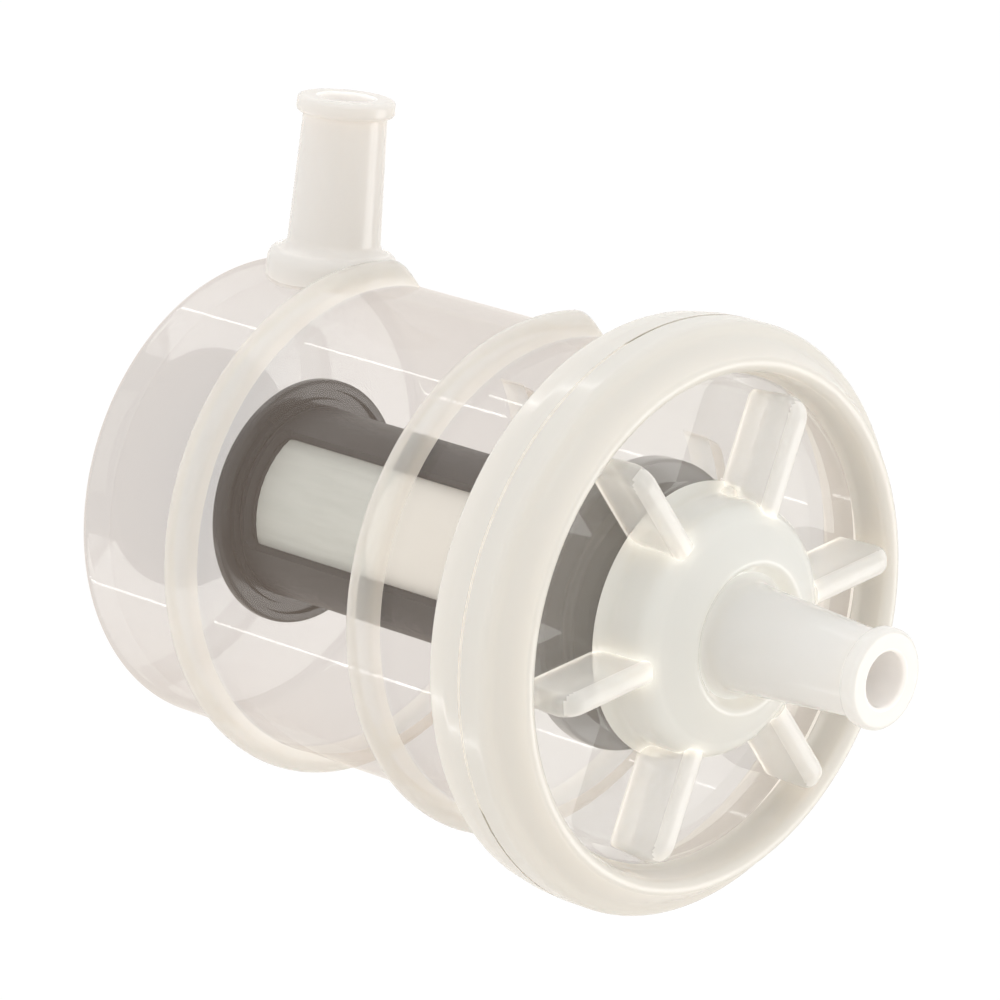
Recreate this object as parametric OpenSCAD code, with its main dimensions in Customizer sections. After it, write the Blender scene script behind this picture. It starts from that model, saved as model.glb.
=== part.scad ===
// In-line fuel filter: a clear moulded cup with a welded cover, a side inlet stem, an end
// outlet stem and a caged filter element inside.
// Millimetres. The origin is the middle of the closed end's flat face. +Z runs along the
// filter's axis to the outlet, and the inlet stem points along -X.

/* [Housing] */
// outside radius of the clear cup
body_r = 23; // [16:0.5:34]
// wall thickness of the cup
wall = 1.5; // [1:0.1:2.5]
// thickness of the closed end
base_t = 2; // [1.2:0.1:4]
// height at which the cover's skirt starts
skirt_z = 51.6; // [46:0.1:80]
// height of the raised rings that locate the filter in its holder
ring_r = 1.5; // [0.8:0.1:2]
// height of the lower ring's centre
ring_low_z = 15; // [12:0.1:20]
// height of the upper ring's centre
ring_high_z = 39.3; // [30:0.1:44]
// width in degrees of the break in each ring, beside the inlet
ring_break = 50; // [10:1:90]

/* [Stems] */
// bore radius of both stems
bore_r = 2.6; // [1.8:0.05:3.2]
// stem radius just under the hose bead
stem_tip_r = 4.05; // [3.2:0.05:5]
// radius of the hose bead
bead_r = 4.75; // [3.8:0.05:6]
// height of the inlet stem's centre line
inlet_z = 8.2; // [7:0.1:10]
// stem radius at the inlet's root
inlet_root_r = 4.5; // [3.6:0.05:6]
// inlet stem length, measured from the cup's outside face
inlet_len = 17; // [10:0.5:30]
// stem radius at the outlet's root
outlet_root_r = 5.1; // [4:0.05:7]
// outlet stem length, measured from the top of the cover's boss
outlet_len = 16.2; // [10:0.5:30]

/* [Cover] */
// outside radius of the cover's rim over the cup's radius
rim_over = 5.2; // [4.4:0.1:8]
// radius of the central boss
boss_r = 12.1; // [11:0.1:15]
// height of the boss above the recessed floor
boss_h = 6; // [4:0.1:9]
// number of stiffening fins round the boss
fins = 6; // [3:1:12]
// thickness of a fin
fin_t = 2.3; // [1.2:0.1:3]
// angle of the first fin round the axis
fin_turn = 42.4; // [0:0.1:60]

/* [Filter element] */
// outside radius of the dark cage
cage_r = 9.5; // [9:0.1:12]
// wall thickness of the cage
cage_wall = 1.1; // [0.8:0.1:2]
// number of windows in the cage
windows = 3; // [2:1:6]
// width of one window in degrees
window_deg = 78; // [20:1:85]
// angle of the first window's middle
window_turn = 252.6; // [0:0.1:360]
// radius of the end plate at the closed end
closed_plate_r = 12.1; // [10.5:0.1:16]
// radius of the end plate at the outlet end
open_plate_r = 13.9; // [11:0.1:18]
// number of pleats in the paper
pleats = 22; // [12:1:30]

/* [Hidden] */
$fn = 96;
eps = 0.01;
fit_gap = 0.05;
slide_gap = 0.3;
bore_in_r = body_r - wall;
rim_r = body_r + rim_over;
// levels along the axis, measured up from the skirt
floor_under = skirt_z + 4.4;
floor_top = floor_under + 2;
rim_top = floor_top + 3.7;
boss_top = floor_top + boss_h;
crown_z = boss_top + 1.8;
outlet_end = crown_z + outlet_len;
recess_r = body_r + 0.4;
pocket_r = body_r + 2.75;
flange_r = pocket_r - 0.15;
flange_z = skirt_z + 1.8;
cup_top = floor_under - fit_gap;
// levels of the filter element
plate_t = 1.2;
plate_z = 6.9;
cage_z = plate_z + plate_t + fit_gap;
open_plate_z = skirt_z - 1.1;
open_plate_top = open_plate_z + 2;
cage_top = open_plate_z - fit_gap;
window_z = cage_z + 0.6;
window_top = cage_top - 2;
cage_in = cage_r - cage_wall;
sleeve_r = cage_in - 0.1;
sleeve_t = 0.5;
collar_z = 24;
paper_r = sleeve_r - sleeve_t - 0.15;
tube_r = 4.1;
tube_in = 3.3;
bond_t = 0.9;
paper_z = cage_z + bond_t + fit_gap;
paper_top = cage_top - bond_t - fit_gap;
// element neck in the cover's socket
neck_r = 5;
neck_in = 2.9;
socket_r = neck_r + slide_gap;
socket_wall = 1.4;
socket_z = open_plate_top + 2;
neck_top = floor_under + 4.6;
socket_top = neck_top + 0.6;
seal_r = 0.75;
seal_z = floor_under + 1.6;
seal_mid = socket_r - fit_gap - seal_r;
groove_r = seal_mid - seal_r - 0.02;
// inlet seat on the cup
seat_r = 6.3;
seat_top = body_r + 2.2;
spigot_r = 3.6;
inlet_tip = body_r + inlet_len;

// points on an arc about (cx, cy), from angle a0 to a1
function arc(cx, cy, r, a0, a1, n = 5) =
    [for (i = [0:n]) let (a = a0 + (a1 - a0) * i / n) [cx + r * cos(a), cy + r * sin(a)]];

// a raised ring of half-round section round the cup, broken beside the inlet
module locating_ring(z) {
    crest = body_r + 2.3;
    rotate([0, 0, 170])
        rotate_extrude(angle = 360 - ring_break)
            polygon(concat([[body_r - wall / 2, z - ring_r]],
                           arc(crest - ring_r, z, ring_r, -90, 90, 8),
                           [[body_r - wall / 2, z + ring_r]]));
}

// a hollow stem standing on z = 0, tapering to a rounded bead at its tip
module hose_stem(root_r, tip_r, length) {
    land = 0.7;
    edge = 0.5;
    bead_low = length - land - 2 * edge;
    cylinder(h = bead_low + edge, r1 = root_r, r2 = tip_r);
    translate([0, 0, bead_low])
        cylinder(h = edge, r1 = tip_r, r2 = bead_r - edge);
    translate([0, 0, bead_low + edge])
        cylinder(h = land, r = bead_r);
    translate([0, 0, bead_low + edge])
        cylinder(h = land + edge, r = bead_r - edge);
    for (h = [bead_low + edge, bead_low + edge + land])
        translate([0, 0, h])
            rotate_extrude()
                translate([bead_r - edge, 0])
                    circle(r = edge);
}

// one ring segment window cutter, as a wedge through the cage wall
module window_cut(deg, z0, z1) {
    reach = cage_r * 3;
    half = deg / 2;
    translate([0, 0, z0])
        linear_extrude(z1 - z0)
            polygon([[0, 0], [reach * cos(half), -reach * sin(half)],
                     [reach * 1.2, 0], [reach * cos(half), reach * sin(half)]]);
}

module housing() {
    edge = 1.2;
    color([0.93, 0.91, 0.88, 0.35])
    difference() {
        union() {
            rotate_extrude()
                polygon(concat(
                    [[0, 0]],
                    arc(body_r - edge, edge, edge, -90, 0),
                    [[body_r, flange_z - 0.8], [flange_r, flange_z], [flange_r, cup_top],
                     [bore_in_r, cup_top]],
                    arc(bore_in_r - edge, base_t + edge, edge, 0, -90),
                    [[0, base_t]]));
            difference() {
                union() {
                    locating_ring(ring_low_z);
                    locating_ring(ring_high_z);
                }
                // room for the inlet fitting's seat
                translate([-body_r - 10, 0, inlet_z])
                    rotate([0, 90, 0])
                        cylinder(h = 11, r = seat_r + fit_gap);
            }
        }
        translate([-body_r - 5, 0, inlet_z])
            rotate([0, 90, 0])
                cylinder(h = 10, r = spigot_r + fit_gap);
    }
}

module inlet_fitting() {
    color([0.9, 0.89, 0.86, 0.7])
    translate([0, 0, inlet_z])
        difference() {
            union() {
                difference() {
                    union() {
                        // round seat on the cup
                        translate([-seat_top, 0, 0])
                            rotate([0, 90, 0])
                                cylinder(h = 6, r = seat_r);
                        // flare at the foot of the stem
                        translate([-seat_top, 0, 0])
                            rotate([0, -90, 0])
                                cylinder(h = 1, r1 = inlet_root_r + 1, r2 = inlet_root_r);
                    }
                    translate([0, 0, -inlet_z])
                        cylinder(h = ring_high_z, r = body_r + fit_gap);
                }
                // spigot through the cup's wall
                translate([-seat_top, 0, 0])
                    rotate([0, 90, 0])
                        cylinder(h = seat_top - bore_in_r, r = spigot_r);
                translate([-seat_top + 1, 0, 0])
                    rotate([0, -90, 0])
                        hose_stem(inlet_root_r, stem_tip_r, inlet_tip - seat_top + 1);
            }
            translate([-inlet_tip - 1, 0, 0])
                rotate([0, 90, 0])
                    cylinder(h = inlet_tip + 2, r = bore_r);
        }
}

// the solid of revolution of the cover, without fins
module cover_turned() {
    socket_out = socket_r + socket_wall;
    hollow = boss_r - 1.9;
    rotate_extrude()
        polygon(concat(
            [[pocket_r, skirt_z], [rim_r - 0.8, skirt_z], [rim_r - 0.3, skirt_z + 0.5],
             [rim_r, skirt_z + 3.4], [rim_r, skirt_z + 5.6]],
            [[rim_r - 0.25, floor_top + 0.55], [rim_r - 1.1, floor_top + 1.1]],
            arc(body_r + 1.25, rim_top - 0.9, 0.9, 50, 180),
            [[recess_r - 0.1, floor_top + 0.6], [recess_r - 0.6, floor_top]],
            [[boss_r + 0.8, floor_top], [boss_r + 0.2, floor_top + 0.3],
             [boss_r, floor_top + 0.9]],
            arc(boss_r - 1.6, boss_top - 1.6, 1.6, 0, 65),
            [[outlet_root_r + 2.4, crown_z - 0.25], [outlet_root_r + 2.1, crown_z - 0.2],
             [outlet_root_r + 1.9, crown_z - 0.4], [outlet_root_r + 1.7, crown_z - 1.3],
             [outlet_root_r, crown_z - 1.3], [bore_r, crown_z - 1.3], [bore_r, socket_top],
             [socket_r, socket_top], [socket_r, socket_z + 0.5], [socket_r + 0.4, socket_z],
             [socket_out, socket_z], [socket_out, boss_top - 2],
             [hollow - 1, boss_top - 2], [hollow, boss_top - 3], [hollow, floor_under],
             [pocket_r, floor_under]]));
}

// one upright fin from the boss towards the rim, level with the boss and rounded at its tip
module cover_fin() {
    tip = recess_r - 1;
    round_r = 2.2;
    intersection() {
        translate([0, 0, floor_top - 0.5])
            linear_extrude(boss_h + 2)
                union() {
                    translate([boss_r - 1, -fin_t / 2])
                        square([tip - fin_t / 2 - boss_r + 1, fin_t]);
                    translate([tip - fin_t / 2, 0])
                        circle(r = fin_t / 2);
                }
        rotate([90, 0, 0])
            translate([0, 0, -fin_t])
                linear_extrude(2 * fin_t)
                    polygon(concat(
                        [[0, boss_top - 0.1], [0, floor_top - 0.5], [tip + 1, floor_top - 0.5],
                         [tip + 1, boss_top - 0.1 - round_r]],
                        arc(tip - round_r, boss_top - 0.1 - round_r, round_r, 0, 90)));
    }
}

module cover() {
    color([0.93, 0.93, 0.9, 0.6])
    difference() {
        union() {
            cover_turned();
            difference() {
                for (i = [0:fins - 1])
                    rotate([0, 0, fin_turn + i * 360 / fins])
                        cover_fin();
                cylinder(h = outlet_end, r = boss_r - 0.9);
            }
            translate([0, 0, crown_z - 1.3 - eps])
                hose_stem(outlet_root_r, stem_tip_r, outlet_end - crown_z + 1.3 + eps);
            // moulding gate pip on the boss's flank
            rotate([0, 0, 170])
                translate([boss_r, 0, floor_top + 1.4])
                    sphere(r = 0.8);
        }
        translate([0, 0, socket_top - 1])
            cylinder(h = outlet_end, r = bore_r);
    }
}

module closed_end_plate() {
    lip = 0.35;
    color([0.1, 0.1, 0.11])
    difference() {
        union() {
            rotate_extrude()
                polygon([[0, plate_z], [closed_plate_r - lip, plate_z],
                         [closed_plate_r, plate_z + lip],
                         [closed_plate_r, plate_z + plate_t - lip],
                         [closed_plate_r - lip, plate_z + plate_t], [0, plate_z + plate_t]]);
            // peg that centres the inner tube
            translate([0, 0, plate_z])
                cylinder(h = plate_t + bond_t + 3, r = tube_in - 0.1);
        }
        // shallow groove round the face
        translate([0, 0, plate_z + plate_t - 0.5])
            difference() {
                cylinder(h = 2, r = cage_r + 1.7);
                translate([0, 0, -1])
                    cylinder(h = 4, r = cage_r + 0.7);
            }
    }
}

module cage() {
    color([0.12, 0.12, 0.13])
    difference() {
        translate([0, 0, cage_z])
            cylinder(h = cage_top - cage_z, r = cage_r);
        translate([0, 0, cage_z - 1])
            cylinder(h = cage_top, r = cage_in);
        for (i = [0:windows - 1])
            rotate([0, 0, window_turn + i * 360 / windows])
                window_cut(window_deg, window_z, window_top);
    }
}

module open_end_plate() {
    step_r = open_plate_r - 3;
    lip = 0.35;
    shoulder = neck_r + 2.4;
    color([0.1, 0.1, 0.11])
    rotate_extrude()
        polygon([[neck_in, open_plate_z], [open_plate_r - lip, open_plate_z],
                 [open_plate_r, open_plate_z + lip], [open_plate_r, open_plate_top - lip],
                 [open_plate_r - lip, open_plate_top], [step_r, open_plate_top],
                 [step_r - 0.3, open_plate_top + 0.8], [shoulder, open_plate_top + 0.8],
                 [shoulder, socket_z - fit_gap], [neck_r, socket_z - fit_gap],
                 [neck_r, seal_z - 1.1], [groove_r, seal_z - 1.1], [groove_r, seal_z + 1.1],
                 [neck_r, seal_z + 1.1], [neck_r, neck_top - 0.5],
                 [neck_r - 0.5, neck_top], [neck_in, neck_top]]);
}

module filter_wrap() {
    color([0.8, 0.8, 0.78])
    translate([0, 0, paper_z])
        difference() {
            cylinder(h = collar_z - fit_gap - paper_z, r = sleeve_r);
            translate([0, 0, -1])
                cylinder(h = collar_z, r = sleeve_r - sleeve_t);
        }
}

module outlet_collar() {
    color([0.9, 0.88, 0.82])
    translate([0, 0, collar_z])
        difference() {
            cylinder(h = paper_top - collar_z, r = sleeve_r);
            translate([0, 0, -1])
                cylinder(h = paper_top, r = sleeve_r - sleeve_t);
        }
}

module pleated_paper() {
    fold = 360 / pleats;
    deep = tube_r + 0.2;
    sheet = 0.9;
    outer = [for (i = [0:pleats - 1]) for (s = [0, 1])
        let (r = s == 0 ? paper_r : deep + sheet, a = (i + s / 2) * fold)
            [r * cos(a), r * sin(a)]];
    inner = [for (i = [0:pleats - 1]) for (s = [0, 1])
        let (r = s == 0 ? paper_r - sheet : deep, a = (i + s / 2) * fold)
            [r * cos(a), r * sin(a)]];
    color([0.88, 0.8, 0.62])
    translate([0, 0, paper_z])
        linear_extrude(paper_top - paper_z)
            difference() {
                polygon(outer);
                polygon(inner);
            }
}

module centre_tube() {
    rows = 4;
    z0 = cage_z;
    h = cage_top - cage_z;
    pitch = (h - 12) / rows;
    color([0.85, 0.85, 0.83])
    difference() {
        translate([0, 0, z0])
            cylinder(h = h, r = tube_r);
        translate([0, 0, z0 - 1])
            cylinder(h = h + 2, r = tube_in);
        for (i = [0:rows - 1])
            for (k = [0:1])
                rotate([0, 0, i * 45 + k * 90])
                    translate([-tube_r - 1, -0.7, z0 + 7.5 + i * pitch])
                        cube([2 * tube_r + 2, 1.4, pitch - 2.5]);
    }
}

// adhesive that pots the paper into an end plate
module bond(z) {
    color([0.9, 0.86, 0.72])
    translate([0, 0, z])
        difference() {
            cylinder(h = bond_t, r = sleeve_r);
            translate([0, 0, -1])
                cylinder(h = bond_t + 2, r = tube_r + fit_gap);
        }
}

module closed_end_bond() {
    bond(cage_z);
}

module open_end_bond() {
    bond(cage_top - bond_t);
}

module neck_seal() {
    color([0.15, 0.15, 0.16])
    translate([0, 0, seal_z])
        rotate_extrude()
            translate([seal_mid, 0])
                circle(r = seal_r);
}

housing();
inlet_fitting();
cover();
closed_end_plate();
cage();
open_end_plate();
filter_wrap();
outlet_collar();
pleated_paper();
centre_tube();
closed_end_bond();
open_end_bond();
neck_seal();
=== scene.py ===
# %% [markdown]
# # An in-line fuel filter in clear and milky plastic
# A side-entry fuel filter for a small engine: a clear moulded cup, a welded cover with a hose
# stem, and a caged paper element inside. The lesson builds each visible moulding as a smooth
# lathe-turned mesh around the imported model, and then gives every piece a procedural finish.

# %% Load the frame
import bpy
import bmesh
import math
from mathutils import Matrix, Vector


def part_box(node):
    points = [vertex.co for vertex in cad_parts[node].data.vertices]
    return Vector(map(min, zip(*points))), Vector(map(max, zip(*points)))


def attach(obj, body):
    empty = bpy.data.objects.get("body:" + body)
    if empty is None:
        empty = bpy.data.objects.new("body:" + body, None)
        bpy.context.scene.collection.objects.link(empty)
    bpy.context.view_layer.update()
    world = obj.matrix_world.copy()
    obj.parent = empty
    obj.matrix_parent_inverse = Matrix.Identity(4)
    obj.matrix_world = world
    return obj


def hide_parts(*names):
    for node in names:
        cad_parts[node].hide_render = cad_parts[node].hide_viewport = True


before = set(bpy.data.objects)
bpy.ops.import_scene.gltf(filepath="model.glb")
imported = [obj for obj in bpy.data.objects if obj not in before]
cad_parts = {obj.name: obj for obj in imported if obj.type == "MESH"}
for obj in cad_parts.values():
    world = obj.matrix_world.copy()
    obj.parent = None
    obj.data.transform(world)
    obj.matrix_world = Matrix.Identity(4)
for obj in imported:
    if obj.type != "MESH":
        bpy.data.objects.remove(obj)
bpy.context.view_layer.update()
MM = 0.001
print("frame nodes:", sorted(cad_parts))

# %% [markdown]
# ## Camera
# The filter is looked at from its outlet end, a little above the axis, with the inlet stem
# pointing up in the view. A long lens from 0.64 m keeps the ellipses of the mouldings calm.
# The camera comes first, so that every later step can be judged in the same view.

# %% Camera
CAMERA_PLACE = (-0.139493, -0.444025, 0.441107)
CAMERA_TURN = (-18.12486522, -45.96511037, 97.71784054)

lens = bpy.data.cameras.new("camera")
lens.lens = 235.47
lens.sensor_width = 36
lens.clip_start = 0.01
camera = bpy.data.objects.new("camera", lens)
camera.location = CAMERA_PLACE
camera.rotation_euler = [math.radians(a) for a in CAMERA_TURN]
bpy.context.scene.collection.objects.link(camera)
bpy.context.scene.camera = camera
print("camera distance: %.3f m" % Vector(CAMERA_PLACE).length)

# %% [markdown]
# ## Shared sizes
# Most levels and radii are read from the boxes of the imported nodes, so the looks follow the
# design. A box doesn't show the rest, such as walls, bores, steps and fillets, so those are
# named here and in the cells that use them.

# %% Sizes read from the frame
def top(node):
    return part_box(node)[1][2]


def low(node):
    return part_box(node)[0][2]


def radius(node):
    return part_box(node)[1][0]


RIM_R = radius("cover")
OUTLET_TIP = top("cover")
SKIRT_Z = low("cover")
CUP_TOP = top("housing")
INLET_TIP = -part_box("inlet_fitting")[0][0]
INLET_LOW = low("inlet_fitting")
INLET_HIGH = top("inlet_fitting")
SEAT_R = (INLET_HIGH - INLET_LOW) / 2
INLET_Z = (INLET_HIGH + INLET_LOW) / 2
RIM_OVERLAP = 5.2 * MM
FLOOR_RISE = 6.4 * MM
RIM_RISE = 3.7 * MM
BOSS_RISE = 6 * MM
RECESS_OUT = 0.4 * MM
BODY_R = RIM_R - RIM_OVERLAP
WALL = 1.5 * MM
BORE_R = 2.6 * MM
FLOOR_Z = SKIRT_Z + FLOOR_RISE
RIM_TOP = FLOOR_Z + RIM_RISE
BOSS_R = 12.1 * MM
BOSS_TOP = FLOOR_Z + BOSS_RISE
RECESS_R = BODY_R + RECESS_OUT
print("cup %.1f mm, rim %.1f mm, length %.1f mm" % (2e3 * BODY_R, 2e3 * RIM_R, 1e3 * OUTLET_TIP))

# %% [markdown]
# ## Turned shapes
# Almost every piece of this filter is round, so one helper turns a closed outline into a solid.
# A screw modifier could do it, but turning in code lets the outline change with the angle,
# which the broken rings on the cup need, and lets each stretch carry its own material.

# %% Outline helpers
def arc(centre_r, centre_z, size, start, end, steps=8):
    """Points on an arc in the outline's plane, from one angle to another, in degrees."""
    points = []
    for i in range(steps + 1):
        a = math.radians(start + (end - start) * i / steps)
        points.append((centre_r + size * math.cos(a), centre_z + size * math.sin(a)))
    return points


def hold(outline, reach=0.25 * MM):
    """Adds a point near both ends of each long stretch, so that the shading of a flat stretch
    isn't bent by the rounded corners next to it."""
    held = []
    for i, (r0, z0) in enumerate(outline):
        r1, z1 = outline[(i + 1) % len(outline)]
        length = math.hypot(r1 - r0, z1 - z0)
        held.append((r0, z0))
        if length > 4 * reach:
            for share in (reach / length, 1 - reach / length):
                held.append((r0 + (r1 - r0) * share, z0 + (z1 - z0) * share))
    return held


def smooth_step(x):
    x = min(max(x, 0.0), 1.0)
    return x * x * (3 - 2 * x)


# %% The lathe
SHARP_DEGREES = 38
AXIS_LIMIT = 1e-7


def lathe(name, outline, segments=192, bend=None, zone=None):
    """Turns a closed outline of (r, z) points round Z. bend(r, z, angle) moves a point,
    and zone(r, z, angle) gives a face its material index."""
    bm = bmesh.new()
    columns = []
    for r, z in hold(outline):
        if r < AXIS_LIMIT:
            columns.append([bm.verts.new((0, 0, z))])
            continue
        ring = []
        for s in range(segments):
            a = 2 * math.pi * s / segments
            rr, zz = bend(r, z, a) if bend else (r, z)
            ring.append(bm.verts.new((rr * math.cos(a), rr * math.sin(a), zz)))
        columns.append(ring)
    count = len(columns)
    for i in range(count):
        here, there = columns[i], columns[(i + 1) % count]
        if len(here) == 1 and len(there) == 1:
            continue
        for s in range(segments):
            t = (s + 1) % segments
            if len(here) == 1:
                corners = [here[0], there[s], there[t]]
            elif len(there) == 1:
                corners = [here[s], there[0], here[t]]
            else:
                corners = [here[s], there[s], there[t], here[t]]
            face = bm.faces.new(corners)
            face.smooth = True
            if zone:
                middle = face.calc_center_median()
                face.material_index = zone(math.hypot(middle.x, middle.y), middle.z,
                                           math.atan2(middle.y, middle.x))
    bmesh.ops.recalc_face_normals(bm, faces=bm.faces)
    mesh = bpy.data.meshes.new(name)
    bm.to_mesh(mesh)
    bm.free()
    mesh.set_sharp_from_angle(angle=math.radians(SHARP_DEGREES))
    obj = bpy.data.objects.new(name, mesh)
    bpy.context.scene.collection.objects.link(obj)
    return obj


def dress(obj, finishes):
    """Sets a piece's materials and keeps the zone that each face already has."""
    zones = [f.material_index for f in obj.data.polygons]
    obj.data.materials.clear()
    for finish in finishes:
        obj.data.materials.append(finish)
    obj.data.polygons.foreach_set("material_index", zones)


def settle(obj, node, slot, *finishes):
    """Gives a finished piece its materials and its body, and hides the imported node it
    replaces. slot is not used.
    """
    dress(obj, finishes)
    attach(obj, "root")
    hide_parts(node)
    print("%s: %d faces" % (obj.name, len(obj.data.polygons)))


# %% [markdown]
# ## Shader groups
# Natural polypropylene is never perfectly even: it has faint flow marks and cloudy spots from
# moulding. The plastics share one pattern group, and the wrap and the paper share another. The
# groups put out only masks and heights, and the shaders themselves stay in each material.

# %% Group: moulded cloudiness
def new_group(name, inputs, outputs):
    group = bpy.data.node_groups.new(name, "ShaderNodeTree")
    for label, kind, value in inputs:
        socket = group.interface.new_socket(label, in_out="INPUT", socket_type=kind)
        socket.default_value = value
    for label, kind in outputs:
        group.interface.new_socket(label, in_out="OUTPUT", socket_type=kind)
    return group, group.nodes.new("NodeGroupInput"), group.nodes.new("NodeGroupOutput")


def cloud_group():
    """Large soft clouds and a fine grain, each from 0 to 1."""
    group, given, out = new_group(
        "Moulded Clouds",
        [("Scale", "NodeSocketFloat", 60.0), ("Grain Scale", "NodeSocketFloat", 900.0)],
        [("Cloud", "NodeSocketFloat"), ("Grain", "NodeSocketFloat")])
    nodes, links = group.nodes, group.links
    coords = nodes.new("ShaderNodeTexCoord")
    for label, output in (("Scale", "Cloud"), ("Grain Scale", "Grain")):
        noise = nodes.new("ShaderNodeTexNoise")
        noise.inputs["Detail"].default_value = 3.0
        links.new(coords.outputs["Object"], noise.inputs["Vector"])
        links.new(given.outputs[label], noise.inputs["Scale"])
        links.new(noise.outputs["Fac"], out.inputs[output])
    return group


CLOUDS = cloud_group()


# %% Group: felted fibre
FIBRE_TURNS = (25, -35)


def fibre_group():
    """Criss-cross fibres: stretched noise in two directions, as a height from 0 to 1."""
    group, given, out = new_group(
        "Felted Fibre",
        [("Scale", "NodeSocketFloat", 700.0), ("Stretch", "NodeSocketFloat", 6.0)],
        [("Height", "NodeSocketFloat"), ("Tone", "NodeSocketFloat")])
    nodes, links = group.nodes, group.links
    coords = nodes.new("ShaderNodeTexCoord")
    heights = []
    for turn in FIBRE_TURNS:
        mapping = nodes.new("ShaderNodeMapping")
        mapping.inputs["Rotation"].default_value = (0, math.radians(turn), math.radians(turn))
        join = nodes.new("ShaderNodeCombineXYZ")
        join.inputs["X"].default_value = 1.0
        join.inputs["Y"].default_value = 1.0
        links.new(coords.outputs["Object"], mapping.inputs["Vector"])
        divide = nodes.new("ShaderNodeMath")
        divide.operation = "DIVIDE"
        divide.inputs[0].default_value = 1.0
        links.new(given.outputs["Stretch"], divide.inputs[1])
        links.new(divide.outputs[0], join.inputs["Z"])
        links.new(join.outputs[0], mapping.inputs["Scale"])
        noise = nodes.new("ShaderNodeTexNoise")
        noise.inputs["Detail"].default_value = 2.0
        links.new(mapping.outputs[0], noise.inputs["Vector"])
        links.new(given.outputs["Scale"], noise.inputs["Scale"])
        heights.append(noise.outputs["Fac"])
    both = nodes.new("ShaderNodeMath")
    both.operation = "MAXIMUM"
    links.new(heights[0], both.inputs[0])
    links.new(heights[1], both.inputs[1])
    links.new(both.outputs[0], out.inputs["Height"])
    links.new(heights[0], out.inputs["Tone"])
    return group


FIBRE = fibre_group()
print("shader groups:", [g.name for g in bpy.data.node_groups])


# %% Material helpers
def start(name):
    material = bpy.data.materials.new(name)
    material.use_nodes = True
    return material, material.node_tree.nodes, material.node_tree.links


def place_group(nodes, group, **values):
    node = nodes.new("ShaderNodeGroup")
    node.node_tree = group
    for label, value in values.items():
        node.inputs[label.replace("_", " ")].default_value = value
    return node


def ramp(nodes, links, source, low_value, high_value, low_in=0.3, high_in=0.7):
    """Maps a pattern from 0 to 1 onto two numbers."""
    node = nodes.new("ShaderNodeMapRange")
    node.inputs["From Min"].default_value = low_in
    node.inputs["From Max"].default_value = high_in
    node.inputs["To Min"].default_value = low_value
    node.inputs["To Max"].default_value = high_value
    links.new(source, node.inputs["Value"])
    return node.outputs["Result"]


def two_tone(nodes, links, source, dark, light):
    """Mixes two colours by a pattern from 0 to 1."""
    node = nodes.new("ShaderNodeMix")
    node.data_type = "RGBA"
    node.inputs["A"].default_value = (*dark, 1)
    node.inputs["B"].default_value = (*light, 1)
    links.new(source, node.inputs["Factor"])
    return node.outputs["Result"]


def bump(nodes, links, shader, source, strength, distance):
    node = nodes.new("ShaderNodeBump")
    node.inputs["Strength"].default_value = strength
    node.inputs["Distance"].default_value = distance
    links.new(source, node.inputs["Height"])
    links.new(node.outputs["Normal"], shader.inputs["Normal"])


# %% [markdown]
# ## Clear plastic
# The cup and the floor of the cover are clear polypropylene with a faint warm haze. Refracting
# plastic draws black bands along the rings and the closed end's corner, which are pale on the
# real filter. So the wall is a film: a little of its own colour by Alpha, more of it where the
# surface turns away and one looks along the plastic, and a strong mirror of the lights to make
# up for what the alpha takes from the gloss. Haze in plastic sends most light on forward, so
# rays of light are stopped far less than what the eye sees of the film.

# %% Material: clear film
LIGHT_SHARE = 0.35
GRAZING = (0.8, 0.97)
FILM_POWER = 3.0
PALER = 1.06


def clear_plastic(name, colour, film, edge, behind=None, mirror=2.2, rough=0.04,
                  rim=(0.46, 0.36, 0.28)):
    """film and edge are the alpha seen square on and at a grazing angle, behind is the alpha
    of the far side, whose haze is seen through more plastic."""
    material, nodes, links = start(name)
    shader = nodes["Principled BSDF"]
    clouds = place_group(nodes, CLOUDS, Scale=45.0, Grain_Scale=700.0)
    paler = tuple(min(1.0, c * PALER) for c in colour)
    tone = two_tone(nodes, links, clouds.outputs["Cloud"], colour, paler)
    weight = nodes.new("ShaderNodeLayerWeight")
    weight.inputs["Blend"].default_value = 0.5
    edge_mix = nodes.new("ShaderNodeMix")
    edge_mix.data_type = "RGBA"
    edge_mix.inputs["B"].default_value = (*rim, 1)
    links.new(tone, edge_mix.inputs["A"])
    links.new(ramp(nodes, links, weight.outputs["Facing"], 0.0, 1.0, *GRAZING),
              edge_mix.inputs["Factor"])
    links.new(edge_mix.outputs["Result"], shader.inputs["Base Color"])
    shader.inputs["Roughness"].default_value = rough
    shader.inputs["IOR"].default_value = mirror
    power = nodes.new("ShaderNodeMath")
    power.operation = "POWER"
    power.inputs[1].default_value = FILM_POWER
    links.new(weight.outputs["Facing"], power.inputs[0])
    seen = ramp(nodes, links, power.outputs[0], film, edge, 0.0, 1.0)
    if behind:
        side = nodes.new("ShaderNodeNewGeometry")
        far = nodes.new("ShaderNodeMix")
        far.data_type = "FLOAT"
        far.inputs["B"].default_value = behind
        links.new(side.outputs["Backfacing"], far.inputs["Factor"])
        links.new(seen, far.inputs["A"])
        seen = far.outputs["Result"]
    path = nodes.new("ShaderNodeLightPath")
    share = ramp(nodes, links, path.outputs["Is Camera Ray"], LIGHT_SHARE, 1.0, 0.0, 1.0)
    final = nodes.new("ShaderNodeMath")
    final.operation = "MULTIPLY"
    links.new(seen, final.inputs[0])
    links.new(share, final.inputs[1])
    links.new(final.outputs[0], shader.inputs["Alpha"])
    return material
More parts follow.
